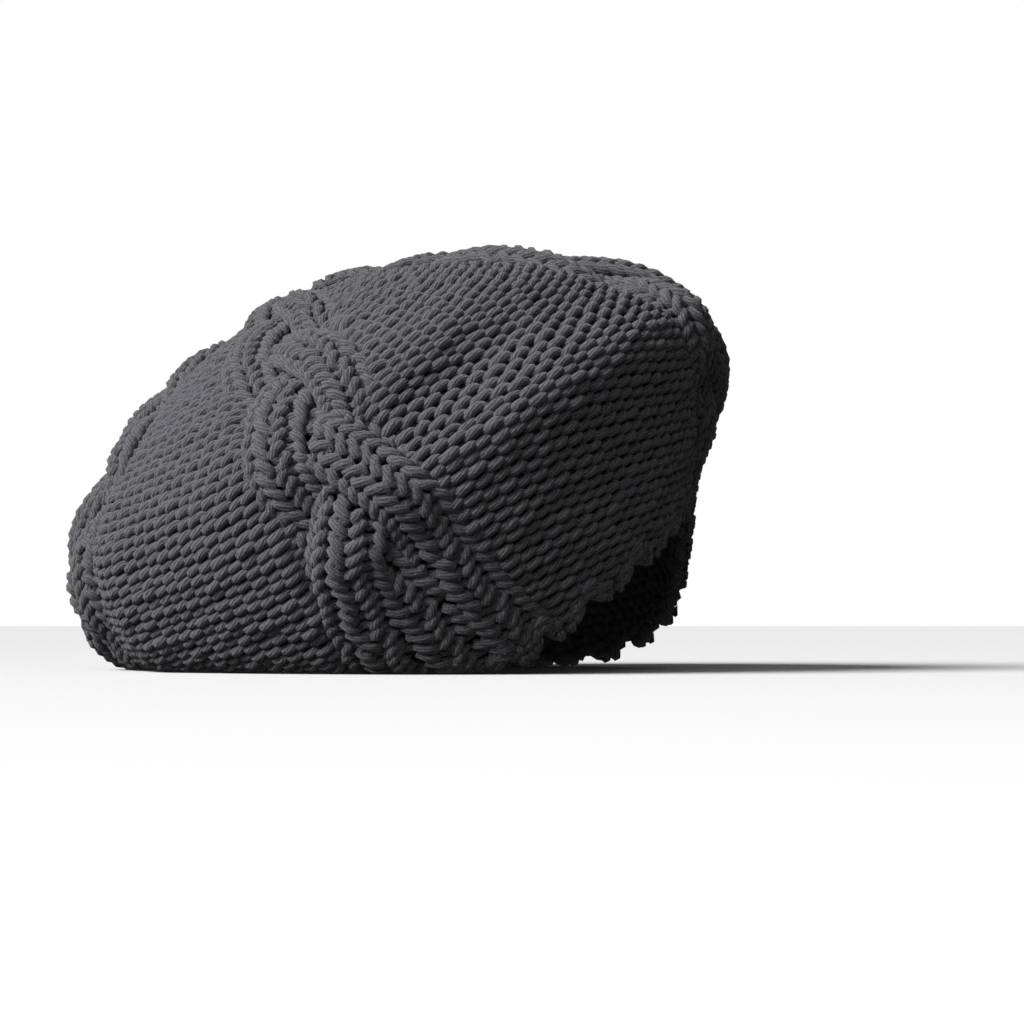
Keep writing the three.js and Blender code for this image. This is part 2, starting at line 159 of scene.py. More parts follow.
# The plait's swing, strand width and first crossing follow the photograph, and differ from the CAD model's
PLAIT_SWING = 17.2  # how far a strand of the plait swings from its cable's middle
STRAND_WIDTH = 24.5
STRAND_WRAP = 1.06  # how far round its strand a row of loops goes, as a share of a half turn
STRAND_FOOT = -6.0  # height at which a strand's flanks end
STRAND_CREST = 4.6  # how high its back stands above that on average
STRAND_LIFT = 4.3  # how far it rises at a crossing
STRAND_ROUND = 0.75  # below 1 a strand's back is flatter and its flanks are steeper than a half round's
LEAST_CREST = 0.5
STEEPEST = 0.1  # the least cosine that a strand's flanks are tilted by
DIVE = 1.4  # a strand dives by this much more than it rises
HIDDEN = 1.2  # yarn this far below another strand is left out
NOWHERE = -100.0  # height of a strand where it isn't
CROSSING_PITCH = 29.0  # between one crossing of the plait and the next
FIRST_CROSSING = 68.0  # the lowest crossing above the edge
SETTLING = 2.0  # how soon the strands run side by side below it
CABLE_BACKING = (-6.0, 16, 0.1)  # height of the felted middle, columns and how far it runs on at the sides
GORE_BACKING = (-3.4, 30, 0.0)
BACKING_ROWS = 70
BACKING_START = 0.032  # share of the way up
BACKING_FLOOR = 1.0  # how near to the floor it comes
EDGE_YARN = 2.5
EDGE_COURSES = ((0.4, 1.0), (1.45, 0.85))  # height of a course in rows, and its share of the scallops
EDGE_SAMPLES = 14
EDGE_LOOP = 0.2  # half the height of a loop of the edge, in rows
EDGE_NECK = 0.1
EDGE_DEPTH = 1.6
EDGE_GAP = 0.6  # how far both courses are moved up the wall
EDGE_WANDER = 0.06
SCALLOP_STRETCH = 2.2  # how many times deeper than SCALLOP_DEPTH the yarn swings, since it is thick
CABLE_POINTS = 10  # points and dips along the edge of a cable
GORE_POINTS = 8
GATHER_RINGS = 4
GATHER_YARN = 1.9
GATHER_STEP = 0.24  # between rings, as a share of the way from the gather's rim to its middle
GATHER_OVERLAP = 0.02
GATHER_WAVE = (0.5, 8, -0.8)  # height, number round the crown and middle of the waves of a ring
GATHER_SAMPLES = 73
GATHER_BACKING = -3.2  # height of the felted middle
GATHER_MARGIN = 0.03  # how far it reaches below the gather, as a share of the way up
GATHER_TOP = 0.998
GATHER_GRID = (8, 25)
# How far rows run up the wall from where they would be level with the edge, by direction
ROW_SHIFTS = ((-180, 0.0), (-95, 15.0), (-30, 0.0), (8, 0.0), (66, -24.0), (100, -24.0), (180, 0.0))
ROW_SHIFT_FADE = (0.34, 0.8)
CABLE_ROWS_START = 0.004  # how far below the edge's top the cables' rows start, as a share of the way up

# Tubes and the grid of the wall
TUBE_SIDES = 6
TUBE_END = 0.3  # radius of a tube's ends, as a share of its own
SHORTEST_TUBE = 5  # samples
ABOVE_FLOOR = 0.9  # how high a yarn's middle stays above the floor, in radii
LINES = 720
STEPS = 360
NORMAL_REACH = 5  # steps
RING_SAMPLES = 25
TINY = 1e-6
LONGEST_START = 50  # the plies of each yarn start at a random place, up to here


def between(keys, values, at):
    """A smooth value between the rows of a table."""
    keys = np.asarray(keys, float)
    values = np.asarray(values, float)
    at = np.asarray(at, float)
    i = np.clip(np.searchsorted(keys, at, side="left") - 1, 0, len(keys) - 2)
    slopes = np.diff(values) / np.diff(keys)
    inner = (values[2:] - values[:-2]) / (keys[2:] - keys[:-2])
    at_rows = np.concatenate(([slopes[0]], inner, [slopes[-1]]))
    span = keys[i + 1] - keys[i]
    t = (at - keys[i]) / span
    t2 = t * t
    t3 = t2 * t
    return (
        (2 * t3 - 3 * t2 + 1) * values[i]
        + (t3 - 2 * t2 + t) * span * at_rows[i]
        + (3 * t2 - 2 * t3) * values[i + 1]
        + (t3 - t2) * span * at_rows[i + 1]
    )


def profile(column, share):
    values = [row[PROFILE_COLUMNS.index(column)] for row in PROFILE]
    return between([row[0] for row in PROFILE], values, share)


def around(column, angle):
    turned = (np.asarray(angle, float) + 180.0) % 360.0 - 180.0
    rows = (
        [(SECTIONS[-1][0] - 360,) + SECTIONS[-1][1:]]
        + list(SECTIONS)
        + [(row[0] + 360,) + row[1:] for row in SECTIONS[:2]]
    )
    values = [row[SECTION_COLUMNS.index(column)] for row in rows]
    return between([row[0] for row in rows], values, turned)


def turn_matrix(axis, degrees):
    c, s = math.cos(math.radians(degrees)), math.sin(math.radians(degrees))
    if axis == "y":
        return np.array([[c, 0, s], [0, 1, 0], [-s, 0, c]])
    return np.array([[1, 0, 0], [0, c, -s], [0, s, c]])


TIP = turn_matrix("y", -LEAN_LEFT) @ turn_matrix("x", -LEAN_BACK)
TO_RIGHT = TIP @ np.array([1.0, 0.0, 0.0])
TO_FRONT = TIP @ np.array([0.0, -1.0, 0.0])
TO_CROWN = TIP @ np.array([0.0, 0.0, 1.0])


def section(angle, share):
    """How far the wall stands from the beret's axis, its height and how far the axis has moved."""
    radius = DISC_RADIUS * (
        profile("disc", share) * around("ring", angle) + profile("slack", share) * around("slack", angle)
    )
    radius = radius + OPENING_RADIUS * profile("opening", share) * around("brim", angle)
    rise = CROWN_RISE * (
        profile("crown", share)
        + profile("lift", share) * around("lift", angle)
        + profile("full", share) * around("full", angle)
    )
    rise = rise - SKIRT_DROP * profile("skirt", share) * around("drop", angle)
    return radius, rise, CROWN_SHIFT * profile("shift", share)


def fold_depth(angle, share):
    depth = np.zeros(np.broadcast(angle, share).shape)
    wall_length = (DISC_RADIUS + CROWN_RISE) * DOME_ARC + SKIRT_DROP
    for at_angle, at_share, turn, long, broad, deep in FOLDS:
        side = np.radians((angle - at_angle + 180.0) % 360.0 - 180.0) * DISC_RADIUS
        up = (share - at_share) * wall_length
        c, s = math.cos(math.radians(turn)), math.sin(math.radians(turn))
        lengthwise = (side * c + up * s) / (long * DISC_RADIUS)
        across = (up * c - side * s) / (broad * DISC_RADIUS)
        depth = depth + deep * CROWN_RISE * np.exp(-(lengthwise**2) - across**2)
    return depth


def hanging(angle, share):
    """Points of the wall before it settles onto the floor."""
    radius, rise, shift = section(angle, share)
    radius = radius - fold_depth(angle, share)
    out = np.radians(angle)
    return (
        (radius * np.sin(out) + shift)[..., None] * TO_RIGHT
        + (radius * np.cos(out))[..., None] * TO_FRONT
        + np.broadcast_to(rise, radius.shape)[..., None] * TO_CROWN
    )


def settled_wall():
    """The wall as it lies: a grid of points, lines round the beret by steps from the edge to the crown."""
    angles = -180.0 + 360.0 * np.arange(LINES) / LINES
    shares = np.arange(STEPS + 1) / STEPS
    hang = hanging(angles[:, None], shares[None, :])
    out = np.radians(angles)
    inward = -np.sin(out)[:, None] * TO_RIGHT - np.cos(out)[:, None] * TO_FRONT
    inward[:, 2] = 0.0
    inward /= np.linalg.norm(inward, axis=1, keepdims=True)
    at = hang[:, STEPS].copy()
    at[:, 2] -= hang[..., 2].min() + SETTLE
    points = np.empty_like(hang)
    points[:, STEPS] = at
    for j in range(STEPS - 1, -1, -1):
        step = hang[:, j] - hang[:, j + 1]
        length = np.linalg.norm(step, axis=1)
        slowed = step[:, 2] * np.minimum(1.0, np.sqrt(np.maximum(at[:, 2], 0.0) / FLOOR_BLEND))
        step[:, 2] = np.where(step[:, 2] < 0, np.maximum(slowed, -at[:, 2]), step[:, 2])
        lost = length - np.linalg.norm(step, axis=1)
        at = at + step + inward * lost[:, None]
        points[:, j] = at
        points[:, j, 2] = np.maximum(0.0, at[:, 2] - FLOOR_TOUCH)
    return points


WALL = settled_wall()


def grid_normals(points, reach):
    """The way out of the wall at each point of the grid, over a stretch of reach steps."""
    across = np.roll(points, -reach, axis=0) - np.roll(points, reach, axis=0)
    low = np.maximum(np.arange(STEPS + 1) - reach, 0)
    high = np.minimum(np.arange(STEPS + 1) + reach, STEPS)
    up = points[:, high] - points[:, low]
    normals = np.cross(across, up)
    length = np.linalg.norm(normals, axis=2, keepdims=True)
    normals = np.where(length > TINY, normals / np.maximum(length, TINY), TO_CROWN)
    normals[:, int(CROWN_FLAT * STEPS) :] = TO_CROWN
    return normals


NORMALS = grid_normals(WALL, NORMAL_REACH)


def wall_at(angle, share):
    """Points of the wall as it lies and the ways out of it there."""
    turn = ((np.asarray(angle) + 180.0) % 360.0) / (360.0 / LINES)
    step = np.clip(share, 0.0, 1.0) * STEPS
    i = np.floor(turn).astype(int) % LINES
    j = np.minimum(np.floor(step).astype(int), STEPS - 1)
    across = (turn - np.floor(turn))[..., None]
    up = (step - j)[..., None]
    after = (i + 1) % LINES
    corners = []
    for grid in (WALL, NORMALS):
        low = grid[i, j] * (1 - across) + grid[after, j] * across
        high = grid[i, j + 1] * (1 - across) + grid[after, j + 1] * across
        corners.append(low * (1 - up) + high * up)
    points, normals = corners
    return points, normals / np.linalg.norm(normals, axis=-1, keepdims=True)


# Length along the wall from the edge, at the direction where the CAD model's front cable meets the widest ring
RUN_ANGLE = -11.0
RUN_SHARES = np.arange(STEPS + 1) / STEPS
RUN_LINE = hanging(np.full(STEPS + 1, RUN_ANGLE), RUN_SHARES)
RUN = np.concatenate(([0.0], np.cumsum(np.linalg.norm(np.diff(RUN_LINE, axis=0), axis=1))))
WALL_RUN = float(RUN[-1])


def share_at(run):
    return np.interp(run, RUN, RUN_SHARES)


def row_share(run, angle):
    """Share of the way up at a run along the wall, where rows slip towards the edge or away from it."""
    turned = (angle + 180.0) % 360.0 - 180.0
    shift = between([row[0] for row in ROW_SHIFTS], [row[1] for row in ROW_SHIFTS], turned)
    low, high = ROW_SHIFT_FADE
    fade = np.clip((high - share_at(run)) / (high - low), 0.0, 1.0)
    return np.interp(run + shift * fade * fade * (3 - 2 * fade), RUN, RUN_SHARES, left=-1.0)


EDGE_TOP = float(share_at(EDGE_HEIGHT))
GATHER_START = float(share_at(WALL_RUN - GATHER_RADIUS))


def taper(share):
    return between([row[0] for row in TAPER], [row[1] for row in TAPER], share)


def cable_middle(index, share):
    crown, dome, ring, edge = CABLES[index][1:5]
    keys = (0.0, RING_SHARE, DOME_SHARE, CROWN_SHARE, 1.0)
    return between(keys, (edge, ring, dome, crown, crown), share)


def cable_half(index, share):
    flare = CABLES[index][5]
    flared = 1 + (flare - 1) * np.maximum(0.0, 1 - share / RING_SHARE) ** FLARE_POWER
    radius = section(cable_middle(index, share), share)[0]
    return np.degrees(CABLE_WIDTH / 2 * flared * taper(share) / np.maximum(radius, 1.0))


def gore_sides(index, share):
    """The two sides of the gore after a cable, in degrees. They run together where it has ended."""
    after = (index + 1) % len(CABLES)
    turn = 360.0 if after == 0 else 0.0
    left = cable_middle(index, share) + cable_half(index, share)
    right = cable_middle(after, share) + turn - cable_half(after, share)
    middle = (left + right) / 2
    width = np.radians(right - left) * section(middle, share)[0]
    ended = width <= GORE_TIP_WIDTH
    return np.where(ended, middle, left), np.where(ended, middle, right), ended


def cable_sides(index, share):
    before = (index - 1) % len(CABLES)
    turn = 360.0 if index == 0 else 0.0
    return gore_sides(before, share)[1] - turn, gore_sides(index, share)[0]


def ring_length(left, right, share):
    """Length along the wall between two directions, at a share of the way up."""
    steps = np.linspace(0.0, 1.0, RING_SAMPLES)
    angles = left[..., None] + (right - left)[..., None] * steps
    points = wall_at(angles, np.broadcast_to(share[..., None], angles.shape))[0]
    return np.linalg.norm(np.diff(points, axis=-2), axis=-1).sum(axis=-1)


class Piece:
    """Tubes and sheets that become one mesh."""

    def __init__(self):
        self.points = []
        self.faces = []
        self.uvs = []
        self.count = 0

    def quads(self, points, faces, uvs):
        """points (n, 3), faces (m, 4) and a UV for each corner (m, 4, 2)."""
        self.points.append(points)
        self.faces.append(faces + self.count)
        self.uvs.append(uvs)
        self.count += len(points)

    def tube(self, path, normals, radius):
        """A round yarn along a path, its cross-sections turned to the wall's normals."""
        tangent = np.gradient(path, axis=0)
        tangent /= np.linalg.norm(tangent, axis=1, keepdims=True)
        side = np.cross(tangent, normals)
        side /= np.maximum(np.linalg.norm(side, axis=1, keepdims=True), TINY)
        up = np.cross(side, tangent)
        turn = 2 * np.pi * np.arange(TUBE_SIDES) / TUBE_SIDES
        radius = np.broadcast_to(radius, (len(path),)).copy()
        radius[0] *= TUBE_END
        radius[-1] *= TUBE_END
        ring = (
            path[:, None]
            + radius[:, None, None] * np.cos(turn)[None, :, None] * side[:, None]
            + radius[:, None, None] * np.sin(turn)[None, :, None] * up[:, None]
        )
        ring[..., 2] = np.maximum(ring[..., 2], 0.0)
        n = len(path)
        i = np.arange(n - 1)[:, None]
        j = np.arange(TUBE_SIDES)[None, :]
        after = (j + 1) % TUBE_SIDES
        low = i * TUBE_SIDES
        high = low + TUBE_SIDES
        faces = np.stack([low + j, low + after, high + after, high + j], axis=-1).reshape(-1, 4)
        along = np.concatenate(([0.0], np.cumsum(np.linalg.norm(np.diff(path, axis=0), axis=1))))
        along = along + random.uniform(0, LONGEST_START)
        u0 = np.broadcast_to(j / TUBE_SIDES, (n - 1, TUBE_SIDES))
        u1 = np.broadcast_to((j + 1) / TUBE_SIDES, (n - 1, TUBE_SIDES))
        v0 = np.broadcast_to(along[:-1, None], (n - 1, TUBE_SIDES))
        v1 = np.broadcast_to(along[1:, None], (n - 1, TUBE_SIDES))
        corners = ((u0, v0), (u1, v0), (u1, v1), (u0, v1))
        uvs = np.stack([np.stack(corner, -1) for corner in corners], axis=2).reshape(-1, 4, 2)
        self.quads(ring.reshape(-1, 3), faces, uvs)

    def tubes(self, path, normals, radius, kept):
        """A yarn wherever kept is true."""
        change = np.flatnonzero(np.diff(np.concatenate(([0], kept.astype(int), [0]))))
        for start, end in zip(change[::2], change[1::2]):
            if end - start >= SHORTEST_TUBE:
                self.tube(path[start:end], normals[start:end], radius[start:end])

    def sheet(self, grid):
        """An open sheet from a grid of points."""
        rows, columns = grid.shape[:2]
        i = np.arange(rows - 1)[:, None]
        j = np.arange(columns - 1)[None, :]
        low = i * columns + j
        high = low + columns
        faces = np.stack([low, low + 1, high + 1, high], axis=-1).reshape(-1, 4)
        uvs = np.zeros((len(faces), 4, 2))
        self.quads(grid.reshape(-1, 3), faces, uvs)

    def make(self, name, material):
        points = (np.concatenate(self.points) + SHIFT) * MM
        faces = np.concatenate(self.faces)
        uvs = np.concatenate(self.uvs)
        mesh = bpy.data.meshes.new(name)
        mesh.vertices.add(len(points))
        mesh.vertices.foreach_set("co", points.ravel().astype(np.float32))
        mesh.loops.add(faces.size)
        mesh.loops.foreach_set("vertex_index", faces.ravel().astype(np.int32))
        mesh.polygons.add(len(faces))
        mesh.polygons.foreach_set("loop_start", np.arange(0, faces.size, 4, dtype=np.int32))
        mesh.update(calc_edges=True)
        layer = mesh.uv_layers.new(name="yarn")
        layer.data.foreach_set("uv", uvs.reshape(-1).astype(np.float32))
        mesh.polygons.foreach_set("use_smooth", np.ones(len(faces), dtype=bool))
        mesh.materials.append(material)
        mesh.validate()
        obj = bpy.data.objects.new(name, mesh)
        bpy.context.scene.collection.objects.link(obj)
        return obj


def soft_noise(count, scale, spacing):
    """A smooth random line: count values, changing over about spacing samples."""
    knots = random.normal(0.0, scale, count // spacing + 4)
    at = np.arange(count) / spacing
    return between(np.arange(len(knots)), knots, at + TINY)


def loops(count, width, neck, samples):
    """One row of loops: across, up (in rows) and a depth from -1 to 1, the loops' heads and feet out."""
    t = np.linspace(0.0, 2 * np.pi * count, count * samples + 1)
    across = width * t / (2 * np.pi) + neck * width * np.sin(2 * t)
    up = -LOOP_HEIGHT * np.cos(t)
    depth = np.cos(2 * t)
    return across, up, depth


def ridge(count, swing):
    """One row of purl bumps: across, up and depth in millimetres.

    Each bump rises along the row and overlaps the next, and the yarn turns back behind them.
    """
    t = np.linspace(0.0, 2 * np.pi * count, count * PURL_SAMPLES + 1)
    across = PURL_WIDTH * t / (2 * np.pi) + PURL_STRETCH * np.sin(t)
    return across, swing * np.sin(t), PURL_DEPTH * np.cos(t)


def above_floor(path, radius):
    path[:, 2] = np.maximum(path[:, 2], radius * ABOVE_FLOOR)


def row_numbers(top):
    """The rows of stitches up to a run along the wall, the first of them below the edge."""
    return np.arange(EDGE_HEIGHT / ROW_PITCH - ROWS_BELOW, top / ROW_PITCH, 1.0)


def gore_piece(index):
    """Rows of purl bumps over one gore. They run on a little way under the cables beside it."""
    piece = Piece()
    soft = PURL_SAMPLES // 2
    for row in row_numbers(WALL_RUN):
        share = share_at(row * ROW_PITCH)
        if share > GATHER_START:
            break
        left, right, ended = gore_sides(index, np.asarray(share))
        if bool(ended):
            break
        half = float(ring_length(left, right, np.asarray(share))) / 2
        count = 2 * max(1, math.ceil(half / PURL_WIDTH + GORE_OVERLAP))
        swing = PURL_SWING * float(np.interp(share, *zip(*EDGE_SWING)))
        across, up, depth = ridge(count, swing)
        across = across - count * PURL_WIDTH / 2
        n = len(across)
        across = across + soft_noise(n, PURL_WANDER[0], soft)
        up = up + soft_noise(n, PURL_WANDER[1], soft)
        per_mm = (right - left) / (2 * half)
        shares = row_share(row * ROW_PITCH + up, (left + right) / 2 + across * per_mm)
        kept = shares > EDGE_TOP
        shares = np.maximum(shares, 0.0)
        lefts, rights, _ = gore_sides(index, shares)
        points, normals = wall_at((lefts + rights) / 2 + across * per_mm, shares)
        beyond = np.abs(across) - half - SINK_START
        sink = SINK_DEPTH * np.clip(beyond / (SINK_WIDTH * PURL_WIDTH), 0.0, 1.0)
        rise = WALL_MIDDLE + depth + soft_noise(n, PURL_WANDER[2], PURL_SAMPLES) - sink
        path = points + normals * rise[:, None]
        radius = PURL_YARN * (1 + soft_noise(n, PURL_WANDER[3], soft))
        above_floor(path, radius)
        piece.tubes(path, normals, radius, kept)
    return piece


def strand_middle(strand, run):
    """Where a strand of the plait is across its cable, how fast it moves across, and its lift.

    Below the lowest crossing the strands soon run side by side to the edge.
    """
    crossings = (FIRST_CROSSING - run) / CROSSING_PITCH
    plaited = np.exp(-SETTLING * np.maximum(crossings, 0.0))
    crossings = np.where(crossings > 0, (1 - plaited) / SETTLING, crossings)
    phase = np.pi / 2 + crossings * (np.pi / STRANDS) + strand * 2 * np.pi / STRANDS
    slope = PLAIT_SWING * np.cos(phase) * (-np.pi / STRANDS / CROSSING_PITCH) * plaited
    lift = np.sin(2 * phase) * plaited
    return PLAIT_SWING * np.sin(phase), slope, np.where(lift < 0, DIVE * lift, lift)


def strand_height(strand, run, place):
    """How high a strand stands at a place across its cable, far below the wall where it isn't there."""
    middle, slope, lift = strand_middle(strand, run)
    reach = (place - middle) * np.cos(np.arctan(slope)) / (STRAND_WIDTH / 2)
    crest = np.maximum(STRAND_CREST + STRAND_LIFT * lift, 0.0)
    body = np.maximum(1 - reach**2, 0.0) ** (STRAND_ROUND / 2)
    return np.where(np.abs(reach) < 1, STRAND_FOOT + crest * body, NOWHERE)


def strand_row(index, row, strand, narrow, share_middle):
    """One row of loops over a strand of a cable: its path, the wall's normals, its radius and where it shows."""
    wales = next(count for least, count in WALES if narrow > least)
    soft = PLAIN_SAMPLES // 2
    across, up, depth = loops(wales, 1.0 / wales, LOOP_NECK, PLAIN_SAMPLES)
    n = len(across)
    across = across + soft_noise(n, PLAIN_WANDER[0], soft)
    up = up + soft_noise(n, PLAIN_WANDER[1], soft)
    run = (row + up) * ROW_PITCH
    spread = STRAND_WRAP * np.pi * (across - 0.5)
    middle, slope, lift = strand_middle(strand, run)
    crest = np.maximum(STRAND_CREST + STRAND_LIFT * lift, LEAST_CREST)
    local = STRAND_WIDTH / 2 * np.sin(spread)
    tilt = np.arctan2(crest * np.sin(spread), STRAND_WIDTH / 2 * np.maximum(np.cos(spread), STEEPEST))
    out = -PLAIN_DEPTH * depth
    turn = np.arctan(slope)
    place = middle + local * np.cos(turn) + out * np.sin(tilt)
    run = run - local * np.sin(turn)
    rise = STRAND_FOOT + crest * np.maximum(np.cos(spread), 0.0) ** STRAND_ROUND + out * np.cos(tilt)
    shares = row_share(run, share_middle)
    kept = shares > EDGE_TOP - CABLE_ROWS_START
    for other in range(STRANDS):
        if other != strand:
            kept = kept & (strand_height(other, run, place) < rise + HIDDEN)
    shares = np.maximum(shares, 0.0)
    lefts, rights = cable_sides(index, shares)
    angle = (lefts + rights) / 2 + (rights - lefts) * place / CABLE_WIDTH
    points, normals = wall_at(angle, shares)
    path = points + normals * rise[:, None]
    thin = min(1.0, NARROW_YARN + (1 - NARROW_YARN) * narrow)
    radius = PLAIN_YARN * thin * (1 + soft_noise(n, PLAIN_WANDER[2], soft))
    above_floor(path, radius)
    return path, normals, radius, kept


def cable_piece(index):
    """The three strands of one plaited cable, row by row."""
    piece = Piece()
    for row in row_numbers(WALL_RUN - GATHER_RADIUS):
        share = share_at(row * ROW_PITCH)
        left, right = cable_sides(index, np.asarray(share))
        narrow = float(ring_length(left, right, np.asarray(share))) / CABLE_WIDTH
        for strand in range(STRANDS):
            piece.tubes(*strand_row(index, row, strand, narrow, float(left + right) / 2))
    return piece


def backing(piece, sides, rise, columns, overlap):
    """The felted middle of the fabric, between its loops.

    It runs on beside the piece by a share of its width, the overlap.
    """
    shares = np.linspace(BACKING_START, GATHER_START, BACKING_ROWS)
    left, right = sides(shares)
    along = np.linspace(-overlap, 1.0 + overlap, columns)
    angles = left[:, None] + (right - left)[:, None] * along
    points, normals = wall_at(angles, np.broadcast_to(shares[:, None], angles.shape))
    grid = points + normals * rise
    grid[..., 2] = np.maximum(grid[..., 2], BACKING_FLOOR)
    piece.sheet(grid)


def edge_angles():
    """Directions of the points of the edge and of the dips between them, in turn."""
    angles = []
    share = np.asarray(EDGE_TOP)
    for index in range(len(CABLES)):
        start, left = cable_sides(index, share)
        right = gore_sides(index, share)[1]
        angles.extend(start + (left - start) * j / CABLE_POINTS for j in range(CABLE_POINTS))
        angles.extend(left + (right - left) * j / GORE_POINTS for j in range(GORE_POINTS))
    angles.append(angles[0] + 360.0)
    return np.array(angles, float)


def edge_piece():
    """Courses of thick loops that rise and fall with the scallops, every second column turned inwards."""
    piece = Piece()
    angles = edge_angles()
    columns = len(angles) - 1
    before_and_after = np.concatenate(([angles[-2] - 360.0], angles, [angles[1] + 360.0]))
    for row, scallop in EDGE_COURSES:
        column = np.linspace(0.0, 2 * np.pi * columns, columns * EDGE_SAMPLES + 1) / (2 * np.pi)
        phase = (column - np.floor(column)) * 2 * np.pi
        place = column + EDGE_NECK * np.sin(2 * phase)
        angle = np.interp(place + 0.5, np.arange(-1, len(angles) + 1), before_and_after)
        wave = 0.5 - 0.5 * np.cos(np.pi * (place - 0.5))
        peak = 1 - np.abs((place - 0.5) % 2 - 1)
        dip = 1 - (wave + peak) / 2
        run = (row - EDGE_LOOP * np.cos(phase)) * ROW_PITCH + SCALLOP_STRETCH * SCALLOP_DEPTH * scallop * dip
        points, normals = wall_at(angle, share_at(np.maximum(run + EDGE_GAP, 0.0)))
        turned = np.where(np.floor(column) % 2 == 1, -1, 1)
        rise = WALL_MIDDLE + EDGE_DEPTH * turned * np.cos(2 * phase)
        path = points + normals * rise[:, None]
        radius = EDGE_YARN * (1 + soft_noise(len(path), EDGE_WANDER, EDGE_SAMPLES))
        above_floor(path, radius)
        piece.tube(path, normals, radius)
    return piece


def gather_piece():
    """The crown, drawn together on rings of yarn over a felted middle."""
    piece = Piece()
    height, waves, middle = GATHER_WAVE
    angle = np.linspace(0, 360, GATHER_SAMPLES)
    for ring in range(GATHER_RINGS):
        share = GATHER_START + (1 - GATHER_START) * (GATHER_STEP * ring - GATHER_OVERLAP)
        points, normals = wall_at(angle, np.full(len(angle), share))
        rise = height * np.sin(np.radians(angle) * waves + ring) + middle
        piece.tube(points + normals * rise[:, None], normals, np.full(len(angle), GATHER_YARN))
    shares = np.linspace(GATHER_START - GATHER_MARGIN, GATHER_TOP, GATHER_GRID[0])
    angles = np.broadcast_to(np.linspace(0, 360, GATHER_GRID[1]), GATHER_GRID)
    points, normals = wall_at(angles, np.broadcast_to(shares[:, None], angles.shape))
    piece.sheet(points + GATHER_BACKING * normals)
    return piece


PLIES = 9.0  # ridges round the yarn
PLY_TWIST = 0.3  # ridges passed in a millimetre along it
PLY_WANDER = 0.9  # how far they wander, in ridges
WANDER_SCALE = 260.0
FIBRE_SCALE = 1700.0
STREAK_SCALE = (3.4, 0.5)  # across the plies and along the yarn
DARK_WOOL = (0.028, 0.0285, 0.031, 1.0)
LIGHT_WOOL = (0.14, 0.1415, 0.151, 1.0)


def wool():
    """Charcoal wool: twisted plies, fine fibres and lighter and darker streaks along them, with painted shade in
    the grooves between the plies.
    """
    material = bpy.data.materials.new("charcoal wool")
    material.use_nodes = True
    nodes = material.node_tree.nodes
    links = material.node_tree.links
    shader = nodes["Principled BSDF"]
    shader.inputs["Roughness"].default_value = 0.95
    shader.inputs["Specular IOR Level"].default_value = 0.15
    shader.inputs["Sheen Weight"].default_value = 0.25
    shader.inputs["Sheen Roughness"].default_value = 0.6
    shader.inputs["Sheen Tint"].default_value = (0.8, 0.8, 0.86, 1.0)

    def calculated(kind, a, b=None):
        node = nodes.new("ShaderNodeMath")
        node.operation = kind
        for socket, value in zip(node.inputs, (a, b)):
            if value is None:
                continue
            if isinstance(value, (int, float)):
                socket.default_value = value
            else:
                links.new(value, socket)
        return node.outputs[0]

    def mixed(*parts):
        """The sum of outputs, each times its weight."""
        total = None
        for output, weight in parts:
            part = calculated("MULTIPLY", output, weight)
            total = part if total is None else calculated("ADD", total, part)
        return total

    def noise(vector, scale, detail):
        node = nodes.new("ShaderNodeTexNoise")
        node.inputs["Scale"].default_value = scale
        node.inputs["Detail"].default_value = detail
        links.new(vector, node.inputs["Vector"])
        return node.outputs[0]

    # The yarn's UVs: once round it, and millimetres along it
    uv = nodes.new("ShaderNodeUVMap")
    uv.uv_map = "yarn"
    split = nodes.new("ShaderNodeSeparateXYZ")
    links.new(uv.outputs["UV"], split.inputs["Vector"])
    place = nodes.new("ShaderNodeTexCoord").outputs["Object"]
    wander = noise(place, WANDER_SCALE, 2.0)
    turns = mixed((split.outputs["X"], PLIES), (split.outputs["Y"], -PLY_TWIST), (wander, PLY_WANDER))
    wave = calculated("SINE", calculated("MULTIPLY", turns, 2 * math.pi))
    plies = calculated("ADD", calculated("MULTIPLY", wave, 0.5), 0.5)
    fibre = noise(place, FIBRE_SCALE, 3.0)
    along = nodes.new("ShaderNodeCombineXYZ")
    links.new(calculated("MULTIPLY", turns, STREAK_SCALE[0]), along.inputs["X"])
    links.new(calculated("MULTIPLY", split.outputs["Y"], STREAK_SCALE[1]), along.inputs["Y"])
    streaks = noise(along.outputs["Vector"], 1.0, 2.0)

    bump = nodes.new("ShaderNodeBump")
    bump.inputs["Strength"].default_value = 0.8
    bump.inputs["Distance"].default_value = 0.0005
    links.new(mixed((plies, 0.5), (fibre, 1.5), (streaks, 1.6)), bump.inputs["Height"])
    links.new(bump.outputs["Normal"], shader.inputs["Normal"])

    heather_and_groove_shade = nodes.new("ShaderNodeValToRGB")
    dark, light = heather_and_groove_shade.color_ramp.elements
    dark.position = 0.32
    dark.color = DARK_WOOL
    light.position = 0.68
    light.color = LIGHT_WOOL
    # The colour is the wool's own random heather from the fibres and streaks, plus painted shade: darker where
    # the ply wave dips into a groove between plies
    links.new(mixed((plies, 0.2), (fibre, 0.4), (streaks, 0.4)), heather_and_groove_shade.inputs["Fac"])
    links.new(heather_and_groove_shade.outputs["Color"], shader.inputs["Base Color"])
    return material


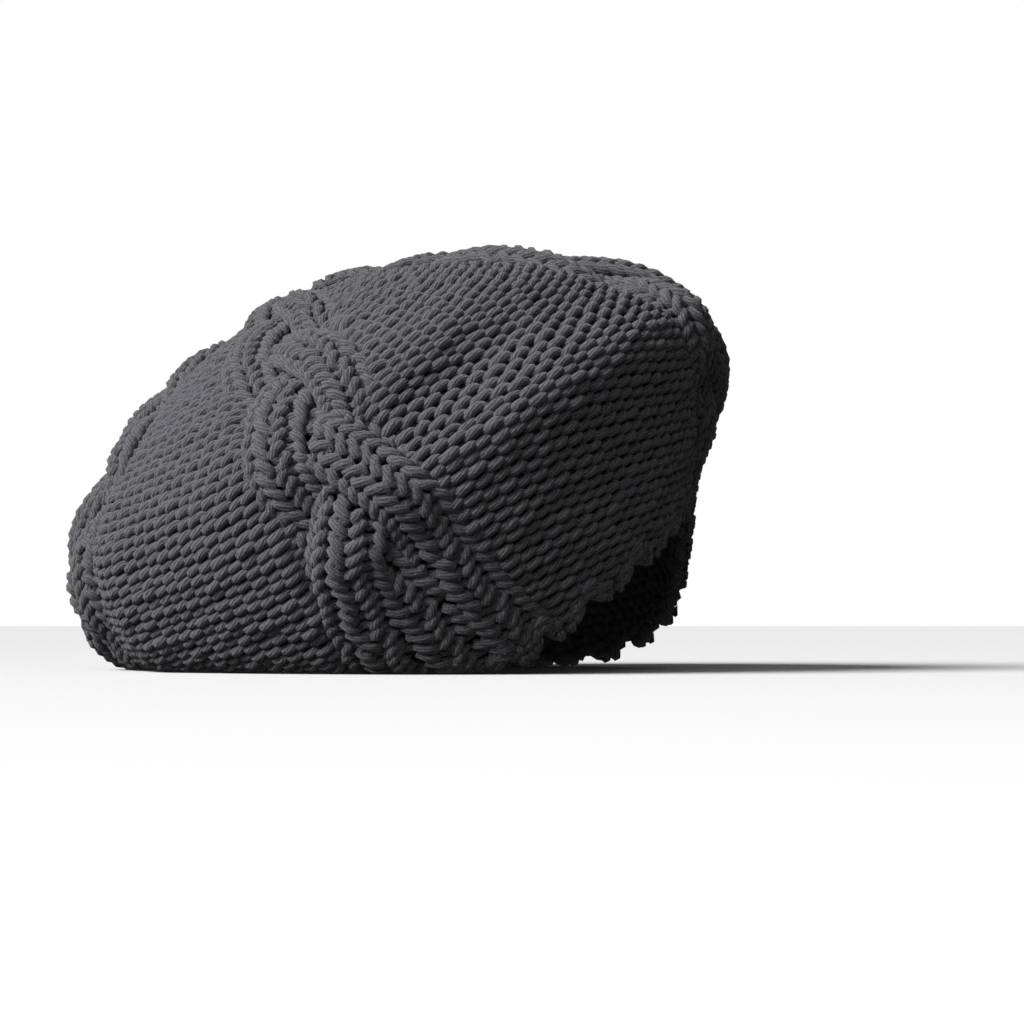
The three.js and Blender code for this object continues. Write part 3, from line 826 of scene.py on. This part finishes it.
def place_like_cad():
    """How far the CAD model was moved to put its origin in the middle of its footprint.

    The gather at the crown shows it: the middle of its box here, against the middle of its box there.
    """
    angle = np.arange(GATHER_SECTORS) * 360.0 / GATHER_SECTORS
    share = np.repeat([GATHER_START, (GATHER_START + 1) / 2], GATHER_SECTORS)
    outside, normals = wall_at(np.tile(angle, 2), share)
    both = np.concatenate([outside, outside - WALL_THICKNESS * normals])
    low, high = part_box("crown_gather")
    shift = (np.array(low) + np.array(high)) / 2 / MM - (both.min(axis=0) + both.max(axis=0)) / 2
    shift[2] = 0.0
    return shift


SHIFT = place_like_cad()
WOOL = wool()


def dress(name, piece):
    """Puts a knitted piece in the place of a node of the CAD model."""
    made = piece.make(name + "_knit", WOOL)
    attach(made, "root")
    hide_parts(name)


for index, cable in enumerate(CABLES):
    piece = cable_piece(index)
    backing(piece, lambda share: cable_sides(index, share), *CABLE_BACKING)
    dress(cable[0], piece)
for index, name in enumerate(GORES):
    piece = gore_piece(index)
    backing(piece, lambda share: gore_sides(index, share)[:2], *GORE_BACKING)
    dress(name, piece)
dress("scalloped_edge", edge_piece())
dress("crown_gather", gather_piece())

# The floor, the light and the camera
FLOOR_SIZE = 30.0
floor_material = bpy.data.materials.new("pale floor")
floor_material.use_nodes = True
floor_shader = floor_material.node_tree.nodes["Principled BSDF"]
floor_shader.inputs["Base Color"].default_value = (0.86, 0.86, 0.86, 1.0)
floor_shader.inputs["Roughness"].default_value = 0.9
bpy.ops.mesh.primitive_plane_add(size=FLOOR_SIZE)
floor = bpy.context.object
floor.name = "floor"
floor.data.materials.append(floor_material)


def add_light(data, place, source):
    """A light at a place, shining along the way from its source to the beret."""
    light = bpy.data.objects.new(data.name, data)
    light.location = place
    light.rotation_euler = source.to_track_quat("Z", "Y").to_euler()
    bpy.context.scene.collection.objects.link(light)


# A broad key from the upper left and a soft fill from the front
KEY_FROM = Vector((-0.67, -0.45, 0.60))
FILL_PLACE = Vector((-0.3, -1.6, 0.9))
FILL_AIM = Vector((0.0, 0.0, 0.07))
key = bpy.data.lights.new("key", "SUN")
key.energy = 5.0
key.angle = math.radians(35.0)
add_light(key, (0.0, 0.0, 0.0), KEY_FROM)
fill = bpy.data.lights.new("fill", "AREA")
fill.shape = "DISK"
fill.size = 1.2
fill.energy = 6.0
add_light(fill, FILL_PLACE, FILL_PLACE - FILL_AIM)

# The world is white where the camera sees it and lights the beret only faintly
WORLD_LIGHT = 0.07
world = bpy.data.worlds.new("white studio")
world.use_nodes = True
backdrop = world.node_tree.nodes["Background"]
backdrop.inputs["Color"].default_value = (1.0, 1.0, 1.0, 1.0)
rays = world.node_tree.nodes.new("ShaderNodeLightPath")
seen = world.node_tree.nodes.new("ShaderNodeMapRange")
seen.inputs["To Min"].default_value = WORLD_LIGHT
seen.inputs["To Max"].default_value = 1.0
world.node_tree.links.new(rays.outputs["Is Camera Ray"], seen.inputs["Value"])
world.node_tree.links.new(seen.outputs["Result"], backdrop.inputs["Strength"])
bpy.context.scene.world = world
bpy.context.scene.view_settings.view_transform = "Standard"
floor.visible_diffuse = False

# The photograph: the middle of its frame, millimetres to a pixel and the camera's pitch
PHOTO_SIZE = 1024
PHOTO_MM_PER_PIXEL = 0.381
PHOTO_MIDDLE = (0.0425, 0.0, 0.0601)
CAMERA_PITCH = 2.2
CAMERA_DISTANCE = 1.1
SENSOR = 36.0
camera_data = bpy.data.cameras.new("camera")
camera_data.sensor_width = SENSOR
camera_data.lens = SENSOR * CAMERA_DISTANCE / (PHOTO_SIZE * PHOTO_MM_PER_PIXEL * MM)
camera = bpy.data.objects.new("camera", camera_data)
pitch = math.radians(CAMERA_PITCH)
camera.location = (
    PHOTO_MIDDLE[0],
    PHOTO_MIDDLE[1] - CAMERA_DISTANCE * math.cos(pitch),
    PHOTO_MIDDLE[2] - CAMERA_DISTANCE * math.sin(pitch),
)
camera.rotation_euler = (math.pi / 2 + pitch, 0.0, 0.0)
bpy.context.scene.collection.objects.link(camera)
bpy.context.scene.camera = camera
